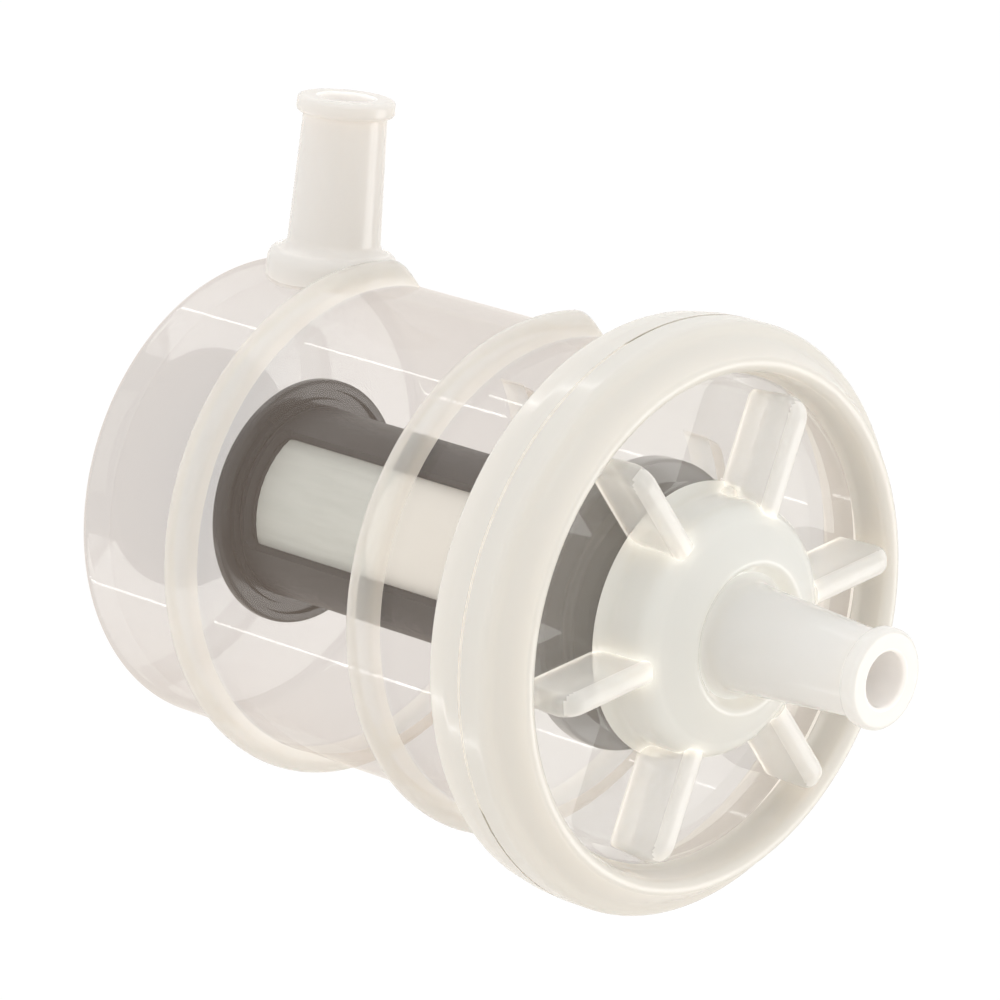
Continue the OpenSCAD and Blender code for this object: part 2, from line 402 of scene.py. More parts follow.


# %% [markdown]
# ## Milky plastic
# The rim, the boss and both stems are thick, so the same plastic scatters light and looks like
# thin milk. Subsurface scattering gives that soft look: light that enters at a rounded edge
# comes out again a few millimetres away. It doesn't bring light through to the inside of the
# rim and the bores, so these two finishes are painted lighter and given a painted glow, an
# emission that stands in for the light soaking through the wall.

# %% Material: milky plastic
SCATTER = (1.0, 0.9, 0.8)
PLASTIC_IOR = 1.49
FINE_GRAIN = 0.04


def milky_plastic(name, colour, rough=0.22, depth=0.003, alpha=1.0, coat=0.4, painted_glow=0.0):
    """alpha is one number, or the two for square on and grazing. painted_glow is painted light:
    an emission that stands in for light soaking through the wall from its other side."""
    material, nodes, links = start(name)
    shader = nodes["Principled BSDF"]
    clouds = place_group(nodes, CLOUDS, Scale=60.0, Grain_Scale=1100.0)
    darker = tuple(c * 0.98 for c in colour)
    links.new(two_tone(nodes, links, clouds.outputs["Cloud"], darker, colour),
              shader.inputs["Base Color"])
    links.new(ramp(nodes, links, clouds.outputs["Cloud"], rough * 0.85, rough * 1.15),
              shader.inputs["Roughness"])
    shader.subsurface_method = "BURLEY"
    shader.inputs["Subsurface Weight"].default_value = 1.0
    shader.inputs["Subsurface Scale"].default_value = depth
    shader.inputs["Subsurface Radius"].default_value = SCATTER
    shader.inputs["IOR"].default_value = PLASTIC_IOR
    shader.inputs["Coat Weight"].default_value = coat
    shader.inputs["Coat Roughness"].default_value = 0.1
    # Painted glow: an emission that stands in for light soaking through the wall; no lamp is
    # there.
    shader.inputs["Emission Color"].default_value = (*colour, 1)
    shader.inputs["Emission Strength"].default_value = painted_glow
    if isinstance(alpha, tuple):
        weight = nodes.new("ShaderNodeLayerWeight")
        weight.inputs["Blend"].default_value = 0.5
        links.new(ramp(nodes, links, weight.outputs["Facing"], *alpha, 0.0, 0.9),
                  shader.inputs["Alpha"])
    else:
        shader.inputs["Alpha"].default_value = alpha
    bump(nodes, links, shader, clouds.outputs["Grain"], FINE_GRAIN, 0.1 * MM)
    return material


# %% Material: black plastic, cloth and the rest
def black_plastic(name, colour, rough=0.38, gloss=0.5):
    """Black moulded plastic, satin, with a fine grain."""
    material, nodes, links = start(name)
    shader = nodes["Principled BSDF"]
    shader.inputs["Specular IOR Level"].default_value = gloss
    clouds = place_group(nodes, CLOUDS, Scale=120.0, Grain_Scale=2500.0)
    paler = tuple(c * 1.5 for c in colour)
    links.new(two_tone(nodes, links, clouds.outputs["Cloud"], colour, paler),
              shader.inputs["Base Color"])
    links.new(ramp(nodes, links, clouds.outputs["Grain"], rough * 0.8, rough * 1.2),
              shader.inputs["Roughness"])
    bump(nodes, links, shader, clouds.outputs["Grain"], FINE_GRAIN, 0.1 * MM)
    return material


def fibre_cloth(name, dark, light, scale, rough=0.9):
    """Felted fibre for the wrap and the paper."""
    material, nodes, links = start(name)
    shader = nodes["Principled BSDF"]
    fibre = place_group(nodes, FIBRE, Scale=scale, Stretch=7.0)
    links.new(two_tone(nodes, links, fibre.outputs["Tone"], dark, light),
              shader.inputs["Base Color"])
    shader.inputs["Roughness"].default_value = rough
    shader.inputs["Sheen Weight"].default_value = 0.2
    bump(nodes, links, shader, fibre.outputs["Height"], 0.5, 0.2 * MM)
    return material


def soft_solid(name, dark, light, rough):
    """A plain moulded or cured piece with cloudy tone: tube, adhesive, rubber."""
    material, nodes, links = start(name)
    shader = nodes["Principled BSDF"]
    clouds = place_group(nodes, CLOUDS, Scale=150.0, Grain_Scale=1800.0)
    links.new(two_tone(nodes, links, clouds.outputs["Cloud"], dark, light),
              shader.inputs["Base Color"])
    links.new(ramp(nodes, links, clouds.outputs["Grain"], rough * 0.85, rough * 1.1),
              shader.inputs["Roughness"])
    bump(nodes, links, shader, clouds.outputs["Grain"], 0.2, 0.1 * MM)
    return material


# %% The finishes of this filter
CLEAR_CUP = clear_plastic("clear cup wall", (0.43, 0.34, 0.275), 0.14, 0.75, behind=0.42)
CLEAR_INSIDE = clear_plastic("clear cup inside", (0.44, 0.37, 0.31), 0.02, 0.08, mirror=1.5)
CLEAR_FLOOR = clear_plastic("clear cover floor", (0.68, 0.63, 0.57), 0.28, 0.6)
CLEAR_UNDER = clear_plastic("clear floor underside", (0.64, 0.59, 0.53), 0.08, 0.3, mirror=1.5)
RING = milky_plastic("hazy ring", (0.78, 0.75, 0.70), alpha=(0.5, 0.85))
MILKY_RIM = milky_plastic("milky rim", (0.73, 0.71, 0.665))
MILKY_BOSS = milky_plastic("milky boss", (0.76, 0.765, 0.735))
MILKY_STEM = milky_plastic("milky stem", (0.79, 0.785, 0.765), depth=0.002)
# Painted light: the bore and the inside of the rim are lighter copies of the milky plastic with
# a painted glow, lifting the shade inside them.
BORE_PAINTED_GLOW = milky_plastic("stem bore", (0.95, 0.93, 0.91), depth=0.001, painted_glow=0.04)
RIM_INSIDE_PAINTED_GLOW = milky_plastic("inside of the rim", (0.90, 0.87, 0.82), depth=0.001, painted_glow=0.55)
MILKY_INLET = milky_plastic("milky inlet", (0.765, 0.74, 0.71), depth=0.002)
FIN_SIDE = milky_plastic("hazy fin side", (0.84, 0.83, 0.80), depth=0.001, alpha=(0.18, 0.9))
FIN_TOP = milky_plastic("hazy fin top", (0.90, 0.89, 0.86), depth=0.001, alpha=(0.5, 1.0))
BLACK = black_plastic("black moulded plastic", (0.012, 0.014, 0.018), rough=0.2)
CAGE_BLACK = black_plastic("black cage plastic", (0.012, 0.014, 0.018), rough=0.5, gloss=0.4)
WRAP = fibre_cloth("grey spun wrap", (0.58, 0.61, 0.57), (0.72, 0.74, 0.70), 900.0)
COLLAR = soft_solid("cream collar", (0.90, 0.87, 0.80), (0.95, 0.93, 0.87), 0.5)
PAPER = fibre_cloth("filter paper", (0.60, 0.50, 0.33), (0.72, 0.63, 0.45), 1400.0)
CORE = soft_solid("core tube plastic", (0.70, 0.69, 0.65), (0.76, 0.75, 0.71), 0.45)
ADHESIVE = soft_solid("cured adhesive", (0.03, 0.03, 0.033), (0.05, 0.05, 0.054), 0.35)
RUBBER = soft_solid("seal rubber", (0.012, 0.012, 0.013), (0.025, 0.025, 0.026), 0.55)
print("materials:", len(bpy.data.materials))

# %% [markdown]
# ## The cup
# The cup is one clear moulding: a flat closed end with a rounded corner, a straight wall, and
# two raised rings. The rings stop for some way beside the inlet, so their height is made to
# fade out with the angle while the wall stays round.

# %% Ring height round the cup
RING_RISE = 2.3 * MM
RING_HALF = 1.5 * MM
RING_LEVELS = (15.0 * MM, 39.3 * MM)
RING_STOP = (120.0, 170.0)
RING_FADE = 7.0
RING_FOOT = 0.3 * MM


def ring_share(angle):
    """1 where a ring has its full height, 0 in the break beside the inlet."""
    degrees = math.degrees(angle) % 360
    middle = sum(RING_STOP) / 2
    half = (RING_STOP[1] - RING_STOP[0]) / 2
    away = abs((degrees - middle + 180) % 360 - 180)
    return math.sqrt(smooth_step((away - half) / RING_FADE))


def ring_outline(level):
    """One ring's half-round section, with a small fillet at each foot."""
    side = RING_RISE - RING_HALF
    fillet_r = BODY_R + 0.1 * MM
    fillet_z = RING_HALF + 0.08 * MM
    points = [(BODY_R, level - RING_HALF - RING_FOOT), (fillet_r, level - fillet_z)]
    points += arc(BODY_R + side, level, RING_HALF, -90, 90, 16)
    points += [(fillet_r, level + fillet_z), (BODY_R, level + RING_HALF + RING_FOOT)]
    return points


# %% Cup outline and mesh
CORNER = 1.2 * MM
BASE = 2 * MM
FLANGE_R = 25.6 * MM
FLANGE_ROUND = 0.2 * MM
INSIDE_R = BODY_R - WALL
NEAR = 0.1 * MM
ROUND_STEPS = 256
cup_outline = [(0, 0)]
cup_outline += arc(BODY_R - CORNER, CORNER, CORNER, -90, 0, 10)
for ring_level in RING_LEVELS:
    cup_outline += ring_outline(ring_level)
cup_outline += [(BODY_R, SKIRT_Z + 1.0 * MM), (FLANGE_R - FLANGE_ROUND, SKIRT_Z + 1.7 * MM)]
cup_outline += [(FLANGE_R, SKIRT_Z + 1.9 * MM), (FLANGE_R, CUP_TOP - FLANGE_ROUND)]
cup_outline += [(FLANGE_R - FLANGE_ROUND, CUP_TOP), (INSIDE_R + FLANGE_ROUND, CUP_TOP)]
cup_outline += [(INSIDE_R, CUP_TOP - FLANGE_ROUND)]
cup_outline += arc(INSIDE_R - CORNER, BASE + CORNER, CORNER, 0, -90, 10)
cup_outline += [(0, BASE)]


def cup_bend(r, z, angle):
    if r <= BODY_R or z > SKIRT_Z:
        return r, z
    return BODY_R + (r - BODY_R) * ring_share(angle), z


def cup_zone(r, z, angle):
    """0 outside of the wall, 1 raised rings, 2 inside of the wall."""
    if any(abs(z - level) < RING_HALF + NEAR for level in RING_LEVELS):
        if r > BODY_R + 0.02 * MM:
            return 1
    inside = r < INSIDE_R + NEAR and z > BASE - NEAR
    return 2 if inside else 0


cup = lathe("cup", cup_outline, ROUND_STEPS, cup_bend, cup_zone)
settle(cup, "housing", "clear_housing", CLEAR_CUP, RING, CLEAR_INSIDE)

# %% [markdown]
# ## The cover
# The cover is moulded in one piece: a fat milky rim that laps over the cup, a thin clear floor
# set back inside it, a milky boss, and the outlet stem. It is turned like the cup, with zones
# for the clear and the milky stretches, and its six fins are added after.

# %% Cover outline
POCKET_R = 25.75 * MM
FLOOR_UNDER = SKIRT_Z + 4.4 * MM
STEM_ROOT_R = 5.1 * MM
STEM_TIP_R = 4.05 * MM
BEAD_R = 4.75 * MM
BEAD_EDGE = 0.5 * MM
BEAD_LAND = 0.7 * MM
MOUTH_ROUND = 0.35 * MM
ROOT_ROUND = 0.9 * MM
RIM_ROUND = 0.9 * MM
BOSS_ROUND = 2.2 * MM
CROWN_Z = BOSS_TOP + 1.8 * MM
SOCKET_R = 5.3 * MM
SOCKET_TOP = FLOOR_UNDER + 5.2 * MM
SOCKET_OUT = SOCKET_R + 1.4 * MM
HOLLOW_R = BOSS_R - 1.9 * MM


def bead_outline(tip_z):
    """The tip of a hose stem: a rounded bead, then the rounded mouth of the bore."""
    bead_low = tip_z - BEAD_LAND - 2 * BEAD_EDGE
    points = [(STEM_TIP_R + 0.03 * MM, bead_low - 0.5 * MM)]
    points += arc(STEM_TIP_R + MOUTH_ROUND, bead_low - 0.2 * MM, MOUTH_ROUND, 180, 100, 4)
    points += arc(BEAD_R - BEAD_EDGE, bead_low + BEAD_EDGE, BEAD_EDGE, -60, 0, 5)
    points += arc(BEAD_R - BEAD_EDGE, tip_z - BEAD_EDGE, BEAD_EDGE, 0, 90, 6)
    points += arc(BORE_R + MOUTH_ROUND, tip_z - MOUTH_ROUND, MOUTH_ROUND, 90, 180, 5)
    return points


def stem_outline(root_r, root_z, tip_z):
    """A tapering hose stem, from the fillet at its root to the mouth of its bore."""
    root = arc(root_r + ROOT_ROUND, root_z + ROOT_ROUND, ROOT_ROUND, 270, 180, 6)
    return root + bead_outline(tip_z)


cover_outline = [(POCKET_R, SKIRT_Z + 0.3 * MM), (POCKET_R + 0.3 * MM, SKIRT_Z)]
cover_outline += arc(RIM_R - 1.0 * MM, SKIRT_Z + 0.6 * MM, 0.6 * MM, -90, 0, 6)
cover_outline += [(RIM_R - 0.1 * MM, SKIRT_Z + 2.4 * MM), (RIM_R, SKIRT_Z + 4.2 * MM)]
cover_outline += arc(RIM_R - RIM_ROUND, SKIRT_Z + 6.4 * MM, RIM_ROUND, 0, 68, 8)
for inward, rise in ((0.9, 7.35), (1.2, 7.5), (1.45, 7.75), (1.65, 8.1)):
    cover_outline.append((RIM_R - inward * MM, SKIRT_Z + rise * MM))
cover_outline += arc(RECESS_R + 1.5 * MM, RIM_TOP - 1.0 * MM, 1.0 * MM, 62, 180, 12)
cover_outline += [(RECESS_R + 0.35 * MM, FLOOR_Z + 1.3 * MM)]
cover_outline += arc(RECESS_R - 0.6 * MM, FLOOR_Z + RIM_ROUND, RIM_ROUND, 0, -90, 6)
cover_outline += arc(BOSS_R + 1.6 * MM, FLOOR_Z + 1.6 * MM, 1.6 * MM, 270, 185, 8)
cover_outline += arc(BOSS_R - BOSS_ROUND, BOSS_TOP - BOSS_ROUND, BOSS_ROUND, 0, 76, 12)
cover_outline += arc(STEM_ROOT_R + 2.1 * MM, CROWN_Z - 0.9 * MM, 0.7 * MM, 75, 150, 6)
cover_outline += stem_outline(STEM_ROOT_R, CROWN_Z - 1.3 * MM, OUTLET_TIP)
cover_outline += [(BORE_R, SOCKET_TOP), (SOCKET_R, SOCKET_TOP)]
cover_outline += [(SOCKET_R, FLOOR_UNDER - 0.5 * MM)]
cover_outline += [(SOCKET_R + 0.4 * MM, FLOOR_UNDER - 1.5 * MM)]
cover_outline += [(SOCKET_OUT, FLOOR_UNDER - 1.5 * MM), (SOCKET_OUT, BOSS_TOP - 2 * MM)]
cover_outline += [(HOLLOW_R - 1.0 * MM, BOSS_TOP - 2 * MM), (HOLLOW_R, BOSS_TOP - 3 * MM)]
cover_outline += [(HOLLOW_R, FLOOR_UNDER), (POCKET_R, FLOOR_UNDER)]


def cover_zone(r, z, angle):
    """0 milky rim, 1 clear floor, 2 boss, 3 stem, 4 under the floor, 5 bore, 6 in the rim."""
    if abs(r - BORE_R) < 0.3 * MM and z > SOCKET_TOP:
        return 5
    if abs(z - FLOOR_UNDER) < NEAR and r > HOLLOW_R + NEAR:
        return 4
    if r > RECESS_R - NEAR:
        return 6 if r < POCKET_R + NEAR and z < FLOOR_UNDER else 0
    if r > BOSS_R + 1.0 * MM:
        return 1
    if z > CROWN_Z - 1.2 * MM and r < STEM_ROOT_R + 0.5 * MM:
        return 3
    return 2


cover = lathe("cover", cover_outline, ROUND_STEPS, None, cover_zone)
print("cover outline:", len(cover_outline), "points")

# %% [markdown]
# ## Fins on the cover
# Six equal fins stand between the boss and the rim. They could be six separate meshes, but one
# is modelled, and a small Geometry Nodes tree places the copies on a circle, so their number
# and turn stay plain inputs. The sides of a fin are clear, and its rounded top is milky.

# %% One fin
FIN_COUNT = 6
FIN_TURN = 42.4
FIN_HALF = 1.15 * MM
FIN_TIP = RECESS_R - 0.9 * MM
FIN_ROUND = 2.2 * MM
FIN_BEVEL = 0.85 * MM
FIN_SINK = 0.2 * MM
FIN_SHARP = 50
FIN_MILKY = 1.0 * MM


def one_fin():
    """A fin along +X: a flat web with a rounded tip and a rounded top edge."""
    start_r = BOSS_R - 0.8 * MM
    fin_top = BOSS_TOP - 0.1 * MM
    outline = [(start_r, FLOOR_Z - FIN_SINK), (FIN_TIP - 0.4 * MM, FLOOR_Z - FIN_SINK)]
    outline += [(FIN_TIP - 0.1 * MM, fin_top - FIN_ROUND)]
    outline += arc(FIN_TIP - 0.1 * MM - FIN_ROUND, fin_top - FIN_ROUND, FIN_ROUND, 10, 90, 10)
    outline += [(start_r, fin_top)]
    bm = bmesh.new()
    flat = [bm.verts.new((x, -FIN_HALF, z)) for x, z in outline]
    face = bm.faces.new(flat)
    grown = bmesh.ops.extrude_face_region(bm, geom=[face])
    moved = [g for g in grown["geom"] if isinstance(g, bmesh.types.BMVert)]
    bmesh.ops.translate(bm, verts=moved, vec=(0, 2 * FIN_HALF, 0))
    edges = [e for e in bm.edges if abs(e.verts[0].co.y - e.verts[1].co.y) < 1e-9
             and max(v.co.z for v in e.verts) > FLOOR_Z
             and max(v.co.x for v in e.verts) > start_r + 1e-6]
    bmesh.ops.bevel(bm, geom=edges, offset=FIN_BEVEL, segments=6, profile=0.5,
                    affect="EDGES", clamp_overlap=True)
    bmesh.ops.recalc_face_normals(bm, faces=bm.faces)
    for f in bm.faces:
        f.smooth = True
    mesh = bpy.data.meshes.new("fin")
    bm.to_mesh(mesh)
    bm.free()
    mesh.set_sharp_from_angle(angle=math.radians(FIN_SHARP))
    obj = bpy.data.objects.new("fin", mesh)
    bpy.context.scene.collection.objects.link(obj)
    return obj


# %% Geometry Nodes: copies round the axis
def ring_tree(name, side_material, top_material, level):
    """Count copies of the mesh, turned about Z. What lies above level takes the top material."""
    tree = bpy.data.node_groups.new(name, "GeometryNodeTree")
    face = tree.interface
    face.new_socket("Geometry", in_out="INPUT", socket_type="NodeSocketGeometry")
    face.new_socket("Count", in_out="INPUT", socket_type="NodeSocketInt")
    face.new_socket("Turn", in_out="INPUT", socket_type="NodeSocketFloat")
    face.new_socket("Geometry", in_out="OUTPUT", socket_type="NodeSocketGeometry")
    nodes, links = tree.nodes, tree.links
    given = nodes.new("NodeGroupInput")
    out = nodes.new("NodeGroupOutput")
    points = nodes.new("GeometryNodePoints")
    index = nodes.new("GeometryNodeInputIndex")
    step = nodes.new("ShaderNodeMath")
    step.operation = "DIVIDE"
    step.inputs[0].default_value = 2 * math.pi
    angle = nodes.new("ShaderNodeMath")
    angle.operation = "MULTIPLY_ADD"
    turn = nodes.new("ShaderNodeCombineXYZ")
    copies = nodes.new("GeometryNodeInstanceOnPoints")
    real = nodes.new("GeometryNodeRealizeInstances")
    links.new(given.outputs["Count"], points.inputs["Count"])
    links.new(given.outputs["Count"], step.inputs[1])
    links.new(index.outputs[0], angle.inputs[0])
    links.new(step.outputs[0], angle.inputs[1])
    links.new(given.outputs["Turn"], angle.inputs[2])
    links.new(angle.outputs[0], turn.inputs["Z"])
    links.new(points.outputs[0], copies.inputs["Points"])
    links.new(given.outputs["Geometry"], copies.inputs["Instance"])
    links.new(turn.outputs[0], copies.inputs["Rotation"])
    links.new(copies.outputs[0], real.inputs[0])
    sides = nodes.new("GeometryNodeSetMaterial")
    sides.inputs["Material"].default_value = side_material
    links.new(real.outputs[0], sides.inputs["Geometry"])
    place = nodes.new("GeometryNodeInputPosition")
    parts = nodes.new("ShaderNodeSeparateXYZ")
    above = nodes.new("FunctionNodeCompare")
    above.data_type = "FLOAT"
    above.operation = "GREATER_THAN"
    above.inputs["B"].default_value = level
    tops = nodes.new("GeometryNodeSetMaterial")
    tops.inputs["Material"].default_value = top_material
    links.new(place.outputs[0], parts.inputs[0])
    links.new(parts.outputs["Z"], above.inputs["A"])
    links.new(above.outputs["Result"], tops.inputs["Selection"])
    links.new(sides.outputs[0], tops.inputs["Geometry"])
    links.new(tops.outputs[0], out.inputs["Geometry"])
    return tree


def spread(obj, tree, count, turn):
    """Runs the tree on the object, and puts the result back as a plain mesh."""
    modifier = obj.modifiers.new("copies", "NODES")
    modifier.node_group = tree
    names = {item.name: item.identifier for item in tree.interface.items_tree
             if item.item_type == "SOCKET" and item.in_out == "INPUT"}
    modifier[names["Count"]] = count
    modifier[names["Turn"]] = math.radians(turn)
    depsgraph = bpy.context.evaluated_depsgraph_get()
    plain = bpy.data.meshes.new_from_object(obj.evaluated_get(depsgraph))
    obj.modifiers.clear()
    obj.data = plain
    print(obj.name, "copies:", count, "faces:", len(plain.polygons))


fin_tree = ring_tree("Fins Round A Boss", FIN_SIDE, FIN_TOP, BOSS_TOP - FIN_MILKY)
fins = one_fin()
spread(fins, fin_tree, FIN_COUNT, FIN_TURN)


# %% Join the fins and the gate pip to the cover
def join(target, finishes, *others):
    """Adds other meshes to a lathe-turned one, keeping every face's material."""
    dress(target, finishes)
    bm = bmesh.new()
    bm.from_mesh(target.data)
    for other in others:
        before = len(bm.faces)
        names = [m.name if m else finishes[0].name for m in other.data.materials]
        bm.from_mesh(other.data)
        bm.faces.ensure_lookup_table()
        for f in bm.faces[before:]:
            wanted = names[f.material_index]
            f.material_index = [m.name for m in finishes].index(wanted)
        bpy.data.objects.remove(other)
    bm.to_mesh(target.data)
    bm.free()
    target.data.set_sharp_from_angle(angle=math.radians(SHARP_DEGREES))


PIP_R = 0.8 * MM
PIP_TURN = math.radians(170)
PIP_RISE = 1.4 * MM


def gate_pip():
    """The small rounded scar that the mould's gate leaves on the boss."""
    bm = bmesh.new()
    bmesh.ops.create_uvsphere(bm, u_segments=24, v_segments=16, radius=PIP_R)
    place = (BOSS_R * math.cos(PIP_TURN), BOSS_R * math.sin(PIP_TURN), FLOOR_Z + PIP_RISE)
    bmesh.ops.translate(bm, verts=bm.verts, vec=place)
    for f in bm.faces:
        f.smooth = True
    mesh = bpy.data.meshes.new("pip")
    bm.to_mesh(mesh)
    bm.free()
    mesh.materials.append(FIN_TOP)
    obj = bpy.data.objects.new("pip", mesh)
    bpy.context.scene.collection.objects.link(obj)
    return obj


cover_finishes = [MILKY_RIM, CLEAR_FLOOR, MILKY_BOSS, MILKY_STEM, CLEAR_UNDER, BORE_PAINTED_GLOW,
                  RIM_INSIDE_PAINTED_GLOW, FIN_SIDE, FIN_TOP]
join(cover, cover_finishes, fins, gate_pip())
settle(cover, "cover", "milky_cover", *cover_finishes)

# %% [markdown]
# ## The inlet fitting
# The inlet is its own moulding, welded on the side of the cup: a round seat that lies on the
# wall, and a hose stem like the outlet's. It is turned round the X axis, and the foot of the
# seat is dropped onto the curve of the cup, so that no gap shows.

# %% Inlet mesh
SEAT_TOP = BODY_R + 2.2 * MM
SEAT_ROUND = 1.1 * MM
SEAT_SINK = 0.3 * MM
DROP_REACH = 2.4 * MM
INLET_ROOT_R = 4.5 * MM
SPIGOT_R = 3.6 * MM


def inlet_outline():
    """(radius, distance from the cup's axis) from the spigot's end round to the bore."""
    points = [(SPIGOT_R, INSIDE_R), (SPIGOT_R, BODY_R - SEAT_SINK)]
    points += [(SEAT_R, BODY_R - SEAT_SINK), (SEAT_R, BODY_R + 0.6 * MM)]
    points += arc(SEAT_R - SEAT_ROUND, SEAT_TOP - SEAT_ROUND, SEAT_ROUND, 0, 80, 8)
    points += arc(INLET_ROOT_R + 1.0 * MM, SEAT_TOP + 0.9 * MM, 1.0 * MM, 265, 180, 8)
    points += [(STEM_TIP_R + 0.02 * MM, INLET_TIP - 2.2 * MM)]
    points += bead_outline(INLET_TIP)
    points += [(BORE_R, INSIDE_R)]
    return points


def inlet_mesh():
    obj = lathe("inlet", inlet_outline(), 128, None,
                lambda r, z, angle: 1 if r < BORE_R + 0.3 * MM and z > BODY_R else 0)
    for v in obj.data.vertices:
        side, up, out = v.co.y, v.co.x, v.co.z
        reach = math.hypot(side, up)
        if reach > SPIGOT_R + NEAR:
            drop = BODY_R - math.sqrt(BODY_R ** 2 - min(abs(side), SEAT_R) ** 2)
            share = smooth_step((SEAT_TOP + 0.6 * MM - out) / DROP_REACH)
            out -= drop * share
        v.co = (-out, side, INLET_Z + up)
    obj.data.update()
    return obj


inlet = inlet_mesh()
settle(inlet, "inlet_fitting", "milky_fitting", MILKY_INLET, BORE_PAINTED_GLOW)

# %% [markdown]
# ## The filter element
# Through the clear wall one sees a black cage between two black end plates, with a grey spun
# wrap and a cream collar in its windows. The plates and tubes are turned. The windows are
# cut from the cage by a boolean with rounded cutters.

# %% Closed end plate
FIT_GAP = 0.05 * MM
GROOVE_DEEP = 0.5 * MM
PEG_R = 3.2 * MM
PLATE_STEPS = 160
CLOSED_R = radius("closed_end_plate")
PLATE_Z = low("closed_end_plate")
PLATE_TOP = low("cage") - FIT_GAP
PEG_TOP = top("closed_end_plate")
CAGE_R = radius("cage")
CAGE_LOW = low("cage")
CAGE_TOP = top("cage")
CAGE_IN = CAGE_R - 1.1 * MM
LIP = 0.35 * MM

closed_outline = [(0, PLATE_Z), (CLOSED_R - 2.4 * MM, PLATE_Z)]
closed_outline += arc(CLOSED_R - LIP, PLATE_Z + LIP, LIP, -90, 0, 4)
closed_outline += arc(CLOSED_R - LIP, PLATE_TOP - LIP, LIP, 0, 90, 4)
closed_outline += [(CAGE_R + 1.7 * MM, PLATE_TOP), (CAGE_R + 1.6 * MM, PLATE_TOP - GROOVE_DEEP)]
closed_outline += [(CAGE_R + 0.8 * MM, PLATE_TOP - GROOVE_DEEP), (CAGE_R + 0.7 * MM, PLATE_TOP)]
closed_outline += [(PEG_R, PLATE_TOP), (PEG_R, PEG_TOP - 0.3 * MM)]
closed_outline += [(PEG_R - 0.3 * MM, PEG_TOP), (0, PEG_TOP)]
closed_plate = lathe("closed_plate", closed_outline, PLATE_STEPS)
settle(closed_plate, "closed_end_plate", "black_plate", BLACK)

# %% Open end plate
PLATE_THICK = 2 * MM
OPEN_R = radius("open_end_plate")
OPEN_LOW = low("open_end_plate")
OPEN_TOP = OPEN_LOW + PLATE_THICK
NECK_TOP = top("open_end_plate")
NECK_R = 5 * MM
NECK_IN = 2.9 * MM
SHOULDER_R = NECK_R + 2.4 * MM
SHOULDER_TOP = OPEN_TOP + 1.95 * MM
SEAL_Z = (low("neck_seal") + top("neck_seal")) / 2
SEAL_HALF = 1.1 * MM
SEAL_DEEP = 1.27 * MM
GROOVE_R = NECK_R - SEAL_DEEP
STEP_R = OPEN_R - 3 * MM
STEP_RISE = 0.8 * MM
STEP_FOOT = 0.25 * MM
STEP_ROUND = 0.3 * MM
open_outline = [(NECK_IN, OPEN_LOW), (OPEN_R - 2 * LIP, OPEN_LOW)]
open_outline += arc(OPEN_R - LIP, OPEN_LOW + LIP, LIP, -90, 0, 4)
open_outline += arc(OPEN_R - LIP, OPEN_TOP - LIP, LIP, 0, 90, 4)
open_outline += arc(STEP_R + STEP_FOOT, OPEN_TOP + STEP_FOOT, STEP_FOOT, 270, 190, 4)
open_outline += arc(STEP_R - STEP_ROUND, OPEN_TOP + 0.5 * MM, STEP_ROUND, 10, 90, 4)
open_outline += [(SHOULDER_R, OPEN_TOP + STEP_RISE), (SHOULDER_R, SHOULDER_TOP)]
open_outline += [(NECK_R, SHOULDER_TOP), (NECK_R, SEAL_Z - SEAL_HALF)]
open_outline += [(GROOVE_R, SEAL_Z - SEAL_HALF), (GROOVE_R, SEAL_Z + SEAL_HALF)]
open_outline += [(NECK_R, SEAL_Z + SEAL_HALF), (NECK_R, NECK_TOP - 0.5 * MM)]
open_outline += [(NECK_R - 0.5 * MM, NECK_TOP), (NECK_IN, NECK_TOP)]
open_plate = lathe("open_plate", open_outline, PLATE_STEPS)
settle(open_plate, "open_end_plate", "black_outlet_plate", BLACK)


# %% Wrap and collar
EDGE_ROUND = 0.15 * MM
CLOTH_THICK = 0.5 * MM
RIPPLES = 44
RIPPLE_DEEP = 0.04 * MM
SLEEVE_STEPS = 6 * RIPPLES


def tube_outline(inner, outer, z0, z1):
    """The section of a thin tube with rounded outer edges."""
    outline = arc(outer - EDGE_ROUND, z0 + EDGE_ROUND, EDGE_ROUND, -90, 0, 3)
    outline += arc(outer - EDGE_ROUND, z1 - EDGE_ROUND, EDGE_ROUND, 0, 90, 3)
    return outline + [(inner, z1), (inner, z0)]


def sleeve(name, node, thickness, finish, slot, ripple=0.0):
    """A thin tube that fills the box of its node. ripple is how deep its waves are."""
    outer = radius(node)
    outline = tube_outline(outer - thickness, outer, low(node), top(node))

    def wave(r, z, angle):
        return r - ripple * (0.5 - 0.5 * math.cos(RIPPLES * angle)), z

    obj = lathe(name, outline, SLEEVE_STEPS, wave if ripple else None)
    settle(obj, node, slot, finish)
    return obj


sleeve("wrap", "filter_wrap", CLOTH_THICK, WRAP, "grey_wrap", ripple=RIPPLE_DEEP)
sleeve("collar", "outlet_collar", CLOTH_THICK, COLLAR, "cream_collar")

# %% Cage with rounded windows
WINDOWS = 3
WINDOW_DEGREES = 78.0
WINDOW_TURN = 252.6
WINDOW_LOW = CAGE_LOW + 0.6 * MM
WINDOW_TOP = CAGE_TOP - 2 * MM
WINDOW_CORNER = 1.1 * MM
CUT_FROM = CAGE_IN * 0.6
CUT_TO = CAGE_R * 1.6
CUT_STEP = math.radians(3)
CORNER_STEP = 15
CORNER_POINTS = 7
CAGE_STEPS = 180
CAGE_SHARP = 30


